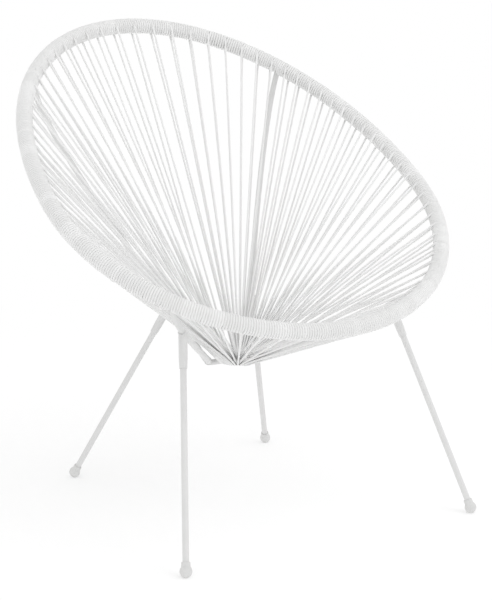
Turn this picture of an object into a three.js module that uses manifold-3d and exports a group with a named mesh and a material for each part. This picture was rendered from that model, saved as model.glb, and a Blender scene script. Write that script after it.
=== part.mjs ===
/**
 * Acapulco chair. An egg-shaped steel rim is wound with plastic cord all the way round. Seat cords run
 * from the rim to a small hub ring, in an inner and an outer layer. A bent steel cradle carries the back,
 * two stays carry the front, and four rod legs screw into sockets that are welded under them.
 * Millimetres, +Z up. The chair faces -Y, left and right are as seen from the front, and the floor is Z = 0.
 */
import * as THREE from 'three';
import { mergeVertices } from 'three/addons/utils/BufferGeometryUtils.js';
import Module from 'manifold-3d';

const wasm = await Module();
wasm.setup();

// Fits
const clearance = 0.3;
const threadClearance = 0.3;

// Rim, measured in its own tilted plane
const rimHalfWidth = 380;
const rimRearReach = 514;
const rimFrontReach = 359;
const rimMiddleHeight = 614;
const rimTiltDegrees = 33.25;
const rimTubeRadius = 10;
const rimStepsPerSide = 18;
const rimMeasureSteps = 1200;
const tubeSides = 10;

// Joints: where the left back one stands, as a share of a turn from the rim's right end, how many there are,
// and the bare length of rim on each side of one, where the winding stops for the welded rod
const firstJointShare = 0.375;
const jointCount = 4;
const jointGap = 8.5;

// Seat cords: how many out-and-back pairs each side of the rim holds, in how many fans they are grouped, and
// how much wider the pairs stand at the middle of the back
const cordRadius = 2.1;
const cordSides = 6;
const rowClearance = 0.35;
const backCordPairs = 17;
const sideCordPairs = 22;
const frontCordPairs = 17;
const backFans = 6;
const sideFans = 6;
const frontFans = 5;
const backSpreadShare = 0.1;
const cordTipDepth = 2.4;
const cordTipReach = 1.4;

// Hub
const hubForward = 39;
const hubHeight = 262;
const hubRingRadius = 31;
const hubRodRadius = 3.2;
const hubSegments = 32;
const hubRodSides = 8;
const hubOpeningDegrees = 80;
const hubOuterSteps = 8;
const hubInnerSteps = 4;
const hubFanSteps = 2;
const strapWidth = 14;
const strapThickness = 3;
const strapSeatDepth = 2.5;
const strapSeatReach = 3.5;
const lugWidth = 10;

// Cradle and stays
const rodRadius = 5.5;
const rodSides = 12;
const crossbarHalfWidth = 44;
const cradleBendLength = 12;
const cradlePull = new THREE.Vector3(68, 101, 166);
const cradleRimPull = 90;
const cradleSteps = 16;
const bendSteps = 5;
const stayPull = new THREE.Vector3(71, -135, 38);
const stayRimPull = 49;
const staySteps = 12;

// Legs, their sockets and their feet
const frontFootHalfSpread = 296;
const frontFootForward = 358;
const rearFootHalfSpread = 219;
const rearFootBack = 209.5;
const frontLegShare = 0.74;
const rearLegShare = 0.204;
const legRadius = 5.5;
const socketRadius = 7.5;
const socketLength = 62;
const mouthRadius = 6.7;
const mouthTaper = 18;
const bushDepth = 11;
const bushLength = 20;
const studRadius = 3;
const studLength = 34;
const studInset = 2;
const footBallRadius = 10.5;
const footFlatDrop = 9.5;
const footCollarRadius = 7.6;
const footCollarLength = 15;
const footFloorThickness = 2.5;
const roundSides = 12;
const ballSides = 16;
const ballSteps = 6;

// Colours and finishes
const looks = {
	cord: { color: '#e6e6e3', roughness: 0.42, metalness: 0 },
	frame: { color: '#e9e9e7', roughness: 0.5, metalness: 0 },
	foot: { color: '#dfdfdc', roughness: 0.55, metalness: 0 },
	zinc: { color: '#b4b7ba', roughness: 0.35, metalness: 0.9 },
};

// Derived sizes
const rimTilt = THREE.MathUtils.degToRad(rimTiltDegrees);
const rimNormal = new THREE.Vector3(0, -Math.sin(rimTilt), Math.cos(rimTilt));
const rimWidestLine = (rimFrontReach - rimRearReach) / 2;
const woundRadius = rimTubeRadius + clearance + 2 * cordRadius;
const hubWoundRadius = hubRodRadius + clearance + 2 * cordRadius;
const boreRadius = legRadius + clearance;
const threadRadius = studRadius + threadClearance;
const legTopDepth = bushDepth + bushLength + clearance;
const studTopDepth = bushDepth + studInset;
const strapTop = hubHeight - hubWoundRadius - clearance;
const strapUnderside = strapTop - strapThickness;
const strapFront = -hubForward - hubRingRadius - strapThickness / 2;
const strapBack = -hubForward + hubRingRadius + strapThickness / 2;
const up = new THREE.Vector3(0, 0, 1);

const chair = new THREE.Group();

function add(name, geometry, look) {
	const mesh = new THREE.Mesh(geometry, new THREE.MeshStandardMaterial(looks[look]));
	mesh.name = name;
	chair.add(mesh);
	return mesh;
}

// Solids for cutting and joining

function toSolid(geometry) {
	const bare = geometry.clone();
	bare.deleteAttribute('normal');
	bare.deleteAttribute('uv');
	const merged = mergeVertices(bare);
	return new wasm.Manifold(new wasm.Mesh({
		numProp: 3,
		vertProperties: new Float32Array(merged.attributes.position.array),
		triVerts: new Uint32Array(merged.index.array),
	}));
}

function toGeometry(solid) {
	const mesh = solid.getMesh();
	const positions = new Float32Array(mesh.vertProperties);
	const geometry = new THREE.BufferGeometry();
	geometry.setAttribute('position', new THREE.BufferAttribute(positions, mesh.numProp));
	geometry.setIndex(new THREE.BufferAttribute(new Uint32Array(mesh.triVerts), 1));
	geometry.computeVertexNormals();
	return geometry;
}

function cutAway(geometry, cutters) {
	let solid = toSolid(geometry);
	for (const cutter of cutters) solid = solid.subtract(toSolid(cutter));
	return toGeometry(solid);
}

function joined(geometries) {
	const solids = geometries.map(toSolid);
	return toGeometry(solids.reduce((whole, next) => whole.add(next)));
}

// Sections, sweeps and turned pieces

function circlePoints(radius, sides) {
	const turns = Array.from({ length: sides }, (_, i) => ((i + 0.5) / sides) * 2 * Math.PI);
	return turns.map((turn) => new THREE.Vector2(radius * Math.cos(turn), radius * Math.sin(turn)));
}

function disc(radius, sides) {
	return new THREE.Shape(circlePoints(radius, sides));
}

function ring(innerRadius, outerRadius, sides) {
	const shape = disc(outerRadius, sides);
	shape.holes.push(new THREE.Path(circlePoints(innerRadius, sides)));
	return shape;
}

/** A path through given stations, each with a point and a tangent; planar ones also name their plane's normal. */
class StationPath extends THREE.Curve {

	constructor(stations) {
		super();
		this.stations = stations;
	}

	station(u) {
		return this.stations[Math.round(u * (this.stations.length - 1))];
	}

	getPointAt(u, target = new THREE.Vector3()) {
		return target.copy(this.station(u).point);
	}

	getTangentAt(u, target = new THREE.Vector3()) {
		return target.copy(this.station(u).tangent);
	}

	computeFrenetFrames(steps, closed) {
		const planeNormal = this.stations[0].planeNormal;
		if (!planeNormal) return super.computeFrenetFrames(steps, closed);
		const tangents = this.stations.map((station) => station.tangent.clone());
		const binormals = tangents.map(() => planeNormal.clone());
		const normals = tangents.map((tangent) => new THREE.Vector3().crossVectors(planeNormal, tangent));
		return { tangents, normals, binormals };
	}

}

function sweep(stations, shape) {
	return new THREE.ExtrudeGeometry(shape, { extrudePath: new StationPath(stations), steps: stations.length - 1 });
}

function stationsAlong(curve, fromShare, toShare, steps) {
	return Array.from({ length: steps + 1 }, (_, i) => {
		const share = fromShare + ((toShare - fromShare) * i) / steps;
		return { point: curve.getPointAt(share), tangent: curve.getTangentAt(share) };
	});
}

/** A profile of [radius, height] corners turned about Z; it closes on itself or starts and ends on the axis. */
function turned(profile, sides) {
	const corners = profile.map(([radius, height]) => new THREE.Vector2(radius, height));
	return new THREE.LatheGeometry(corners, sides).rotateX(Math.PI / 2);
}

function placed(geometry, origin, direction) {
	const turn = new THREE.Quaternion().setFromUnitVectors(up, direction);
	return geometry.applyQuaternion(turn).translate(origin.x, origin.y, origin.z);
}

function stand(mesh, origin, direction) {
	mesh.position.copy(origin);
	mesh.quaternion.setFromUnitVectors(up, direction);
}

/** A rod's line: it leaves start towards the given pull and comes up square to the rim's plane at the joint. */
function rodLine(start, pull, joint, rimPull) {
	return new THREE.CubicBezierCurve3(start, start.clone().add(pull),
		joint.clone().addScaledVector(rimNormal, -rimPull), joint);
}

// Rim line: two half ellipses in one tilted plane

/** Runs clockwise seen from above, starts at the left back joint, and reaches one joint at each quarter of t. */
class RimCurve extends THREE.Curve {

	turnAt(t) {
		return (firstJointShare - t) * 2 * Math.PI;
	}

	reachAt(turn) {
		return Math.sin(turn) > 0 ? rimRearReach : rimFrontReach;
	}

	getPoint(t, target = new THREE.Vector3()) {
		const turn = this.turnAt(t);
		const along = rimWidestLine + this.reachAt(turn) * Math.sin(turn);
		return target.set(rimHalfWidth * Math.cos(turn), along * Math.cos(rimTilt),
			rimMiddleHeight + along * Math.sin(rimTilt));
	}

	getTangent(t, target = new THREE.Vector3()) {
		const turn = this.turnAt(t);
		const along = -this.reachAt(turn) * Math.cos(turn);
		return target.set(rimHalfWidth * Math.sin(turn), along * Math.cos(rimTilt),
			along * Math.sin(rimTilt)).normalize();
	}

}

const rim = new RimCurve();
rim.arcLengthDivisions = rimMeasureSteps;
const rimLength = rim.getLength();
const jointShares = Array.from({ length: jointCount + 1 }, (_, i) =>
	rim.getLengths()[(i / jointCount) * rimMeasureSteps] / rimLength);
const jointPoints = jointShares.map((share) => rim.getPointAt(share));
const [, backRightJoint, frontRightJoint, frontLeftJoint] = jointPoints;

const sides = [
	{ name: 'back', pairs: backCordPairs, fans: backFans, spreadShare: backSpreadShare },
	{ name: 'right', pairs: sideCordPairs, fans: sideFans, spreadShare: 0 },
	{ name: 'front', pairs: frontCordPairs, fans: frontFans, spreadShare: 0 },
	{ name: 'left', pairs: sideCordPairs, fans: sideFans, spreadShare: 0 },
];

function rimStation(share) {
	return { point: rim.getPointAt(share), tangent: rim.getTangentAt(share), planeNormal: rimNormal };
}

sides.forEach((side, i) => {
	side.from = jointShares[i];
	side.to = jointShares[i + 1];
	const woundFrom = side.from + jointGap / rimLength;
	const woundTo = side.to - jointGap / rimLength;
	side.woundStations = Array.from({ length: rimStepsPerSide + 1 }, (_, step) =>
		rimStation(woundFrom + ((woundTo - woundFrom) * step) / rimStepsPerSide));
	side.startStation = rimStation(side.from);
});

// Rim tube: bent in two halves and welded end to end
const [backSide, rightSide, frontSide, leftSide] = sides;
const rimHalves = [
	[backSide.startStation, ...backSide.woundStations, rightSide.startStation, ...rightSide.woundStations,
		frontSide.startStation],
	[frontSide.startStation, ...frontSide.woundStations, leftSide.startStation, ...leftSide.woundStations,
		backSide.startStation],
];
add('rim_tube', joined(rimHalves.map((half) => sweep(half, disc(rimTubeRadius, tubeSides)))), 'frame');

// Rim winding: one sleeve of turns on each side, open at both ends
for (const side of sides) {
	const sleeve = ring(rimTubeRadius + clearance, woundRadius, tubeSides);
	add(`rim_winding_${side.name}`, sweep(side.woundStations, sleeve), 'cord');
}

/** The bare tube at a joint, grown by the clearance, for shaping the end of the rod that meets it. */
function jointCutter(before, after) {
	const stations = [before.woundStations.at(-1), after.startStation, after.woundStations[0]];
	return sweep(stations, disc(rimTubeRadius + clearance, tubeSides));
}

const jointCutters = {
	backLeft: jointCutter(leftSide, backSide),
	backRight: jointCutter(backSide, rightSide),
	frontRight: jointCutter(rightSide, frontSide),
	frontLeft: jointCutter(frontSide, leftSide),
};

// Back cradle: one rod bent to two bowed arms and a level crossbar, which the end of the hub's strap sits on
const mirror = new THREE.Vector3(-1, 1, 1);
const crossbarEnd = new THREE.Vector3(crossbarHalfWidth, strapBack + strapSeatReach,
	strapUnderside + strapSeatDepth - rodRadius);
const cradleArm = rodLine(crossbarEnd, cradlePull, backRightJoint, cradleRimPull);
const bendEndShare = cradleBendLength / cradleArm.getLength();
const bendStart = crossbarEnd.clone().add(new THREE.Vector3(-cradleBendLength, 0, 0));
const cradleBend = new THREE.QuadraticBezierCurve3(bendStart, crossbarEnd, cradleArm.getPointAt(bendEndShare));

const rightHalf = [
	...stationsAlong(cradleBend, 0, 1, bendSteps),
	...stationsAlong(cradleArm, bendEndShare, 1, cradleSteps).slice(1),
];
const leftHalf = rightHalf.map(({ point, tangent }) => ({
	point: point.clone().multiply(mirror),
	tangent: tangent.clone().multiply(mirror).negate(),
})).reverse();
const cradleStations = [...leftHalf, ...rightHalf];
const cradleCutter = sweep(cradleStations, disc(rodRadius + clearance, rodSides));
add('back_cradle', cutAway(sweep(cradleStations, disc(rodRadius, rodSides)),
	[jointCutters.backLeft, jointCutters.backRight]), 'frame');

// Front stays: from the cradle's bends forward under the seat to the rim's front joints
const bendMiddle = cradleBend.getPointAt(0.5);
const stayRight = rodLine(bendMiddle, stayPull, frontRightJoint, stayRimPull);
const stayLeft = rodLine(bendMiddle.clone().multiply(mirror), stayPull.clone().multiply(mirror),
	frontLeftJoint, stayRimPull);
const stays = [
	{ name: 'left', line: stayLeft, jointEnd: jointCutters.frontLeft },
	{ name: 'right', line: stayRight, jointEnd: jointCutters.frontRight },
];
for (const stay of stays) {
	const stations = stationsAlong(stay.line, 0, 1, staySteps);
	stay.cutter = sweep(stations, disc(rodRadius + clearance, rodSides));
	add(`front_stay_${stay.name}`, cutAway(sweep(stations, disc(rodRadius, rodSides)),
		[stay.jointEnd, cradleCutter]), 'frame');
}

// Legs: each hangs from a point on its rod and stands on a ball foot
function footCentre(sideSign, halfSpread, y) {
	return new THREE.Vector3(sideSign * halfSpread, y, footFlatDrop);
}

const rightArmHead = cradleArm.getPointAt(rearLegShare);
const legPlaces = [
	{
		name: 'front_left', head: stayLeft.getPointAt(frontLegShare), rodCutter: stays[0].cutter,
		foot: footCentre(-1, frontFootHalfSpread, -frontFootForward),
	},
	{
		name: 'front_right', head: stayRight.getPointAt(frontLegShare), rodCutter: stays[1].cutter,
		foot: footCentre(1, frontFootHalfSpread, -frontFootForward),
	},
	{
		name: 'rear_left', head: rightArmHead.clone().multiply(mirror), rodCutter: cradleCutter,
		foot: footCentre(-1, rearFootHalfSpread, rearFootBack),
	},
	{
		name: 'rear_right', head: rightArmHead, rodCutter: cradleCutter,
		foot: footCentre(1, rearFootHalfSpread, rearFootBack),
	},
];

/** Welded socket: a short tube with a tapered mouth, its top shaped to the rod. Heights are down from the rod. */
function socket(place) {
	const profile = [
		[boreRadius, -socketLength],
		[mouthRadius, -socketLength],
		[socketRadius, mouthTaper - socketLength],
		[socketRadius, 0],
		[boreRadius, 0],
		[boreRadius, -socketLength],
	];
	const tube = placed(turned(profile, roundSides), place.head, place.direction);
	add(`leg_socket_${place.name}`, cutAway(tube, [place.rodCutter]), 'frame');
}

/** Threaded bush pressed into the top of the socket. */
function bush(place) {
	const bottom = -bushDepth - bushLength;
	const profile = [
		[threadRadius, bottom],
		[legRadius, bottom],
		[legRadius, -bushDepth],
		[threadRadius, -bushDepth],
		[threadRadius, bottom],
	];
	stand(add(`socket_bush_${place.name}`, turned(profile, roundSides), 'zinc'), place.head, place.direction);
}

/** Stud that is fixed in the leg's top and screws into the bush. */
function stud(place) {
	const profile = [
		[0, -studTopDepth - studLength],
		[studRadius, -studTopDepth - studLength],
		[studRadius, -studTopDepth],
		[0, -studTopDepth],
	];
	stand(add(`leg_stud_${place.name}`, turned(profile, roundSides), 'zinc'), place.head, place.direction);
}

/** Leg rod, with a blind hole for the stud in its top. */
function leg(place) {
	const boreBottom = -studTopDepth - studLength - clearance;
	const bottom = footFloorThickness + clearance - place.reach;
	const profile = [
		[0, bottom],
		[legRadius, bottom],
		[legRadius, -legTopDepth],
		[threadRadius, -legTopDepth],
		[threadRadius, boreBottom],
		[0, boreBottom],
	];
	stand(add(`leg_${place.name}`, turned(profile, roundSides), 'frame'), place.head, place.direction);
}

/** Ball foot with a collar round the leg's end and a flat where it stands on the floor. */
function foot(place) {
	const widest = Math.asin(footCollarRadius / footBallRadius);
	const ball = Array.from({ length: ballSteps + 1 }, (_, i) => {
		const turn = Math.PI + ((widest - Math.PI) * i) / ballSteps;
		return [Math.max(0, footBallRadius * Math.sin(turn)), footBallRadius * Math.cos(turn)];
	});
	const profile = [
		[0, -footBallRadius],
		...ball.slice(1),
		[footCollarRadius, footCollarLength],
		[boreRadius, footCollarLength],
		[boreRadius, footFloorThickness],
		[0, footFloorThickness],
	];
	const body = placed(turned(profile, ballSides), place.foot, place.direction);
	const depth = 2 * footBallRadius;
	const floorBlock = new THREE.BoxGeometry(2 * depth, 2 * depth, depth);
	floorBlock.translate(place.foot.x, place.foot.y, -depth / 2);
	add(`foot_${place.name}`, cutAway(body, [floorBlock]), 'foot');
}

for (const place of legPlaces) {
	place.direction = place.head.clone().sub(place.foot).normalize();
	place.reach = place.head.distanceTo(place.foot);
	for (const piece of [socket, bush, stud, leg, foot]) piece(place);
}

// Hub: a steel ring, and the strap that carries it from the crossbar
const hubCentre = new THREE.Vector3(0, -hubForward, hubHeight);

function arcPoints(radius, fromTurn, toTurn, steps) {
	return Array.from({ length: steps + 1 }, (_, i) => {
		const turn = fromTurn + ((toTurn - fromTurn) * i) / steps;
		return new THREE.Vector2(radius * Math.cos(turn), radius * Math.sin(turn));
	});
}

const hubRod = arcPoints(hubRodRadius, 0, 2 * Math.PI, hubRodSides).map(({ x, y }) => [hubRingRadius + x, y]);
add('hub_ring', turned([...hubRod.slice(0, -1), hubRod[0]], hubSegments), 'frame').position.copy(hubCentre);

const lugTop = hubHeight - hubRodRadius - clearance;

function block(width, yFrom, yTo, zFrom, zTo) {
	const box = new THREE.BoxGeometry(width, yTo - yFrom, zTo - zFrom);
	return box.translate(0, (yFrom + yTo) / 2, (zFrom + zTo) / 2);
}

const strapPieces = [
	block(strapWidth, strapFront, strapBack, strapUnderside, strapTop),
	block(lugWidth, strapFront, strapFront + strapThickness, strapUnderside, lugTop),
	block(lugWidth, strapBack - strapThickness, strapBack, strapUnderside, lugTop),
];
add('hub_strap', cutAway(joined(strapPieces), [cradleCutter]), 'frame');

// Seat cords: each pair has one run inside the seat and one outside, and each fan of neighbouring pairs
// ends in its share of the turns round the hub ring, which are open underneath
const pairCount = backCordPairs + frontCordPairs + 2 * sideCordPairs;
const rowPitch = 2 * cordRadius + rowClearance;
const rowShares = [0.5, 1.5];
const leavingRadius = rimTubeRadius + clearance + cordRadius;
const rimSetback = Math.sqrt((woundRadius + clearance) ** 2 - (leavingRadius - cordRadius) ** 2);

/** Direction of a place at the hub, counted in pairs from the left back joint. */
function hubTurn(pairs) {
	return Math.PI / 2 + ((backCordPairs / 2 - pairs) / pairCount) * 2 * Math.PI;
}

function upwardNormal(tangent, along) {
	const normal = new THREE.Vector3().crossVectors(tangent, along).normalize();
	return normal.z < 0 ? normal.negate() : normal;
}

function cordRun(rimShare, pairIndex, layer) {
	const turn = hubTurn(pairIndex + 0.5);
	const outward = new THREE.Vector3(Math.cos(turn), Math.sin(turn), 0);
	const hubTangent = new THREE.Vector3(-outward.y, outward.x, 0);
	const hubPoint = hubCentre.clone().addScaledVector(outward, hubRingRadius);
	const rimPoint = rim.getPointAt(rimShare);
	const line = rimPoint.clone().sub(hubPoint).normalize();
	const row = rowPitch * rowShares[(pairIndex + 1) % 2];
	const low = hubPoint.addScaledVector(upwardNormal(hubTangent, line), layer * row);
	const rimTangent = rim.getTangentAt(rimShare);
	const high = rimPoint.addScaledVector(upwardNormal(rimTangent, line), layer * leavingRadius);
	const direction = high.clone().sub(low).normalize();
	const lean = Math.abs(direction.dot(rimTangent));
	const leaningSetback = (rimSetback + lean * cordRadius) / Math.sqrt(1 - lean ** 2);
	const hubSetback = Math.sqrt((hubWoundRadius + clearance) ** 2 - Math.max(row - cordRadius, 0) ** 2);
	low.addScaledVector(direction, hubSetback);
	high.addScaledVector(direction, -leaningSetback);
	const length = high.distanceTo(low);
	const tipEnd = Math.sqrt(hubWoundRadius ** 2 - row ** 2) - hubSetback - cordTipDepth;
	const profile = [
		[0, tipEnd],
		[cordRadius, cordTipReach],
		[cordRadius, length],
		[0, length],
	];
	return placed(turned(profile, cordSides), low, direction);
}

/** Section of the turns round the hub ring, open underneath, where the lugs of the strap come up to the ring. */
function hubTurnsShape(growth) {
	const halfOpening = THREE.MathUtils.degToRad(hubOpeningDegrees) / 2;
	const start = halfOpening - Math.PI / 2;
	const end = Math.PI * 1.5 - halfOpening;
	const throatStep = (end - start) / hubInnerSteps;
	const throatRadius = (hubRodRadius + clearance) / Math.cos(throatStep / 2);
	return new THREE.Shape([
		...arcPoints(hubWoundRadius + growth, start, end, hubOuterSteps),
		...arcPoints(throatRadius, end, start, hubInnerSteps),
	]);
}

function hubTurns(firstPair, pairs, inset = 0, growth = 0) {
	const from = hubTurn(firstPair) - inset / hubRingRadius;
	const to = hubTurn(firstPair + pairs) + inset / hubRingRadius;
	const stations = Array.from({ length: hubFanSteps + 1 }, (_, i) => {
		const turn = from + ((to - from) * i) / hubFanSteps;
		const outward = new THREE.Vector3(Math.cos(turn), Math.sin(turn), 0);
		const point = hubCentre.clone().addScaledVector(outward, hubRingRadius);
		return { point, tangent: new THREE.Vector3(outward.y, -outward.x, 0), planeNormal: up };
	});
	return sweep(stations, hubTurnsShape(growth));
}

/** Place of a pair on the rim; where its side has a spread share, pairs near the middle stand wider apart. */
function pairShare(side, pair) {
	const evenShare = (pair + 0.5) / side.pairs;
	const shift = (side.spreadShare * Math.sin(2 * Math.PI * evenShare)) / (2 * Math.PI);
	return side.from + (side.to - side.from) * (evenShare - shift);
}

let pairsBefore = 0;
for (const side of sides) {
	for (let fan = 0; fan < side.fans; fan++) {
		const firstPair = Math.round((fan * side.pairs) / side.fans);
		const pairs = Math.round(((fan + 1) * side.pairs) / side.fans) - firstPair;
		const runs = Array.from({ length: 2 * pairs }, (_, i) => {
			const pair = firstPair + Math.floor(i / 2);
			return cordRun(pairShare(side, pair), pairsBefore + pair, i % 2 === 0 ? 1 : -1);
		});
		const first = pairsBefore + firstPair;
		const turns = hubTurns(first, pairs, clearance / 2);
		const neighbours = [hubTurns(first - 1, 1, 0, clearance), hubTurns(first + pairs, 1, 0, clearance)];
		add(`seat_cords_${side.name}_${fan + 1}`, cutAway(joined([turns, ...runs]), neighbours), 'cord');
	}
	pairsBefore += side.pairs;
}

export default chair;
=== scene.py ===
"""Looks of an acapulco chair: a steel rim wound with plastic cord, a seat of taut cords from the rim to a
hub ring, and a powder coated rod frame on four ball feet. Metres, +Z up, the chair faces -Y."""
import bisect
import math
import random
from collections import namedtuple

import bmesh
import bpy
import numpy as np
from mathutils import Matrix, Vector


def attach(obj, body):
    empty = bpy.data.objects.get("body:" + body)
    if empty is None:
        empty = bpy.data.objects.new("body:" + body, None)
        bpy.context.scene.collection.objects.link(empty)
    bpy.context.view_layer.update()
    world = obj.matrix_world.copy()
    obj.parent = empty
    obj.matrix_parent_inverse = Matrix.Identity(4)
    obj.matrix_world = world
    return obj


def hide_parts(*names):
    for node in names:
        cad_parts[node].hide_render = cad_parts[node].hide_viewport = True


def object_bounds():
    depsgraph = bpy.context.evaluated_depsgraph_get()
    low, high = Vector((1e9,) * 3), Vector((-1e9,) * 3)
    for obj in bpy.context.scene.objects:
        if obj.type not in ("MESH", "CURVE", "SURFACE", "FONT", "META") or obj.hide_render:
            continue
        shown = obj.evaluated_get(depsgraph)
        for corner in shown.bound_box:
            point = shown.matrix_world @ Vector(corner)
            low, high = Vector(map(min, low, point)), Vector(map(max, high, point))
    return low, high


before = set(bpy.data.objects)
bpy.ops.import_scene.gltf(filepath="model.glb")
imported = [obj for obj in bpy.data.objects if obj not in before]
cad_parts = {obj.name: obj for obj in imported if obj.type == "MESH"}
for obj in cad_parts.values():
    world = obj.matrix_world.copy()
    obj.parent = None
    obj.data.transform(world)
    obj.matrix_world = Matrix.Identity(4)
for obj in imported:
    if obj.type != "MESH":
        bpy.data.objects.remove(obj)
CAD_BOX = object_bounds()

bl_info = {
    "name": "Acapulco Chair",
    "version": (1, 0, 0),
    "blender": (4, 5, 0),
    "location": "View3D > Sidebar > Chair",
    "description": "Builds a corded egg chair on a rod frame, piece by piece",
    "category": "Add Mesh",
}

UP = Vector((0, 0, 1))
SIDE_NAMES = ("back", "right", "front", "left")
Leg = namedtuple("Leg", "name head rod foot axis")


# Sizes and colours


def setting(kind, **fixed):
    """A short way to write settings of one kind."""
    def made(name, description, default):
        return kind(name=name, description=description, default=default, **fixed)

    return made


length = setting(bpy.props.FloatProperty, unit="LENGTH", precision=5)
angle = setting(bpy.props.FloatProperty, unit="ROTATION")
power = setting(bpy.props.FloatProperty, unit="POWER")
number = setting(bpy.props.FloatProperty, precision=4)
share = setting(bpy.props.FloatProperty, subtype="FACTOR", min=0, max=1)
count = setting(bpy.props.IntProperty, min=1)
vector = setting(bpy.props.FloatVectorProperty, size=3, subtype="TRANSLATION", precision=4)
colour = setting(bpy.props.FloatVectorProperty, size=3, subtype="COLOR", min=0, max=1)


def group(name, description, kind):
    """A group of settings in another."""
    return bpy.props.PointerProperty(name=name, description=description, type=kind)


class RimSizes(bpy.types.PropertyGroup):
    """The rim's centre line and its tube."""

    half_width: length("Half width", "Half the rim's width", 0.38)
    rear_reach: length("Rear reach", "From the widest line to the back of the rim", 0.514)
    front_reach: length("Front reach", "From the widest line to the front of the rim", 0.359)
    middle_height: length("Middle height", "Height of the rim's middle", 0.614)
    tilt: angle("Tilt", "How far the back of the rim is tipped up", math.radians(33.25))
    tube_radius: length("Tube radius", "Radius of the rim's steel tube", 0.01)


class CordSizes(bpy.types.PropertyGroup):
    """The cord, its turns round the rim and its runs to the hub."""

    radius: length("Cord radius", "Radius of the wound cord", 0.00245)
    run_radius: length("Run radius", "Radius of the cord that is drawn taut", 0.0018)
    sides: count("Cord sides", "Facets round the cord", 10)
    turn_pitch: length("Turn pitch", "From one turn to the next along the rim", 0.0044)
    turn_steps: count("Turn steps", "Points on each turn round the rim", 16)
    slack: length("Slack", "Gap between the rim's tube and a turn", 0.00005)
    outer_step: length("Outer step", "From an inner run to its outer run along the rim", 0.005)
    leaving_radius: length("Leaving radius", "From the tube's middle to where a run leaves", 0.0124)
    leaving_lift: length("Leaving lift", "How far a leaning run rides up at the rim", 0.0012)
    back_pairs: count("Back pairs", "Pairs of runs on the back side", 17)
    side_pairs: count("Side pairs", "Pairs of runs on the right or left side", 22)
    front_pairs: count("Front pairs", "Pairs of runs on the front side", 17)
    back_spread: share("Back spread", "How much wider the pairs are at the middle of the back", 0.1)
    seed: count("Seed", "Changes the small differences along the cord", 7)


class HubSizes(bpy.types.PropertyGroup):
    """The ring that the cords turn round, and the strap that carries it."""

    forward: length("Forward", "How far in front of the origin the hub is", 0.039)
    height: length("Height", "Height of the ring's middle", 0.262)
    ring_radius: length("Ring radius", "Radius of the ring's centre line", 0.031)
    rod_radius: length("Rod radius", "Radius of the ring's rod", 0.0032)
    inner_turn: length("Inner turn", "Radius of the turns that lie on the ring", 0.0051)
    outer_turn: length("Outer turn", "Radius of the turns that lie between them", 0.0086)
    strap_width: length("Strap width", "Width of the strap", 0.014)
    strap_thickness: length("Strap thickness", "Thickness of the strap", 0.003)
    strap_drop: length("Strap drop", "From the ring's middle to the strap's top face", 0.008)
    lug_width: length("Lug width", "Width of the lugs that hold the ring", 0.01)


class RodSizes(bpy.types.PropertyGroup):
    """The cradle and the front stays."""

    radius: length("Rod radius", "Radius of the cradle and the stays", 0.0055)
    crossbar_half_width: length("Crossbar half width", "Half the level crossbar", 0.044)
    crossbar_forward: length("Crossbar forward", "How far in front of the origin it is", 0.003)
    crossbar_height: length("Crossbar height", "Height of the crossbar's middle", 0.248)
    bend_length: length("Bend length", "How much of each leg of a bend is curved", 0.012)
    cradle_pull: vector("Cradle pull", "How the right arm leaves the crossbar", (0.068, 0.101, 0.166))
    cradle_rim_pull: length("Cradle rim pull", "How straight the arm comes up to the rim", 0.09)
    stay_pull: vector("Stay pull", "How the right stay leaves the bend", (0.071, -0.135, 0.038))
    stay_rim_pull: length("Stay rim pull", "How straight the stay comes up to the rim", 0.049)
    weld_radius: length("Weld radius", "Thickness of the weld beads", 0.0016)


class LegSizes(bpy.types.PropertyGroup):
    """Legs, sockets and feet."""

    front_half_spread: length("Front half spread", "Half the way between the front feet", 0.296)
    front_reach: length("Front reach", "From the origin forward to the front feet", 0.358)
    rear_half_spread: length("Rear half spread", "Half the way between the rear feet", 0.219)
    rear_reach: length("Rear reach", "From the origin back to the rear feet", 0.2095)
    front_share: share("Front share", "Where the front legs hang on the stays", 0.74)
    rear_share: share("Rear share", "Where the rear legs hang on the cradle's arms", 0.204)
    radius: length("Leg radius", "Radius of a leg", 0.0055)
    top_depth: length("Top depth", "From the rod's middle to the leg's top end", 0.0313)
    socket_radius: length("Socket radius", "Outer radius of a socket", 0.0075)
    socket_bore: length("Socket bore", "Inner radius of a socket", 0.0058)
    socket_length: length("Socket length", "From the rod's middle to the socket's mouth", 0.062)
    mouth_radius: length("Mouth radius", "Outer radius of the tapered mouth", 0.0067)
    mouth_taper: length("Mouth taper", "Length of the taper", 0.018)
    ball_radius: length("Ball radius", "Radius of a ball foot", 0.0105)
    ball_height: length("Ball height", "Height of the ball's middle", 0.0095)
    collar_radius: length("Collar radius", "Outer radius of the foot's collar", 0.0076)
    collar_length: length("Collar length", "From the ball's middle to the collar's end", 0.015)
    floor_thickness: length("Floor thickness", "From the ball's middle to the leg", 0.0025)


class Finishes(bpy.types.PropertyGroup):
    """Colours and gloss."""

    cord: colour("Cord", "Colour of the plastic cord", (0.852, 0.852, 0.85))
    cord_shade: colour("Cord shade", "Colour of the cord where it is darker", (0.805, 0.805, 0.802))
    cord_roughness: share("Cord roughness", "Roughness of the cord", 0.42)
    cord_depth: share("Cord depth", "How much light goes through the cord", 0.4)
    coat: colour("Coat", "Colour of the powder coat", (0.745, 0.745, 0.742))
    coat_shade: colour("Coat shade", "Colour of the coat where it is thinner", (0.7, 0.7, 0.696))
    coat_roughness: share("Coat roughness", "Roughness of the powder coat", 0.48)
    foot: colour("Foot", "Colour of the feet", (0.72, 0.72, 0.715))
    foot_roughness: share("Foot roughness", "Roughness of the feet", 0.55)
    zinc: colour("Zinc", "Colour of the plated threads", (0.46, 0.47, 0.49))
    zinc_roughness: share("Zinc roughness", "Roughness of the plated threads", 0.35)


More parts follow.
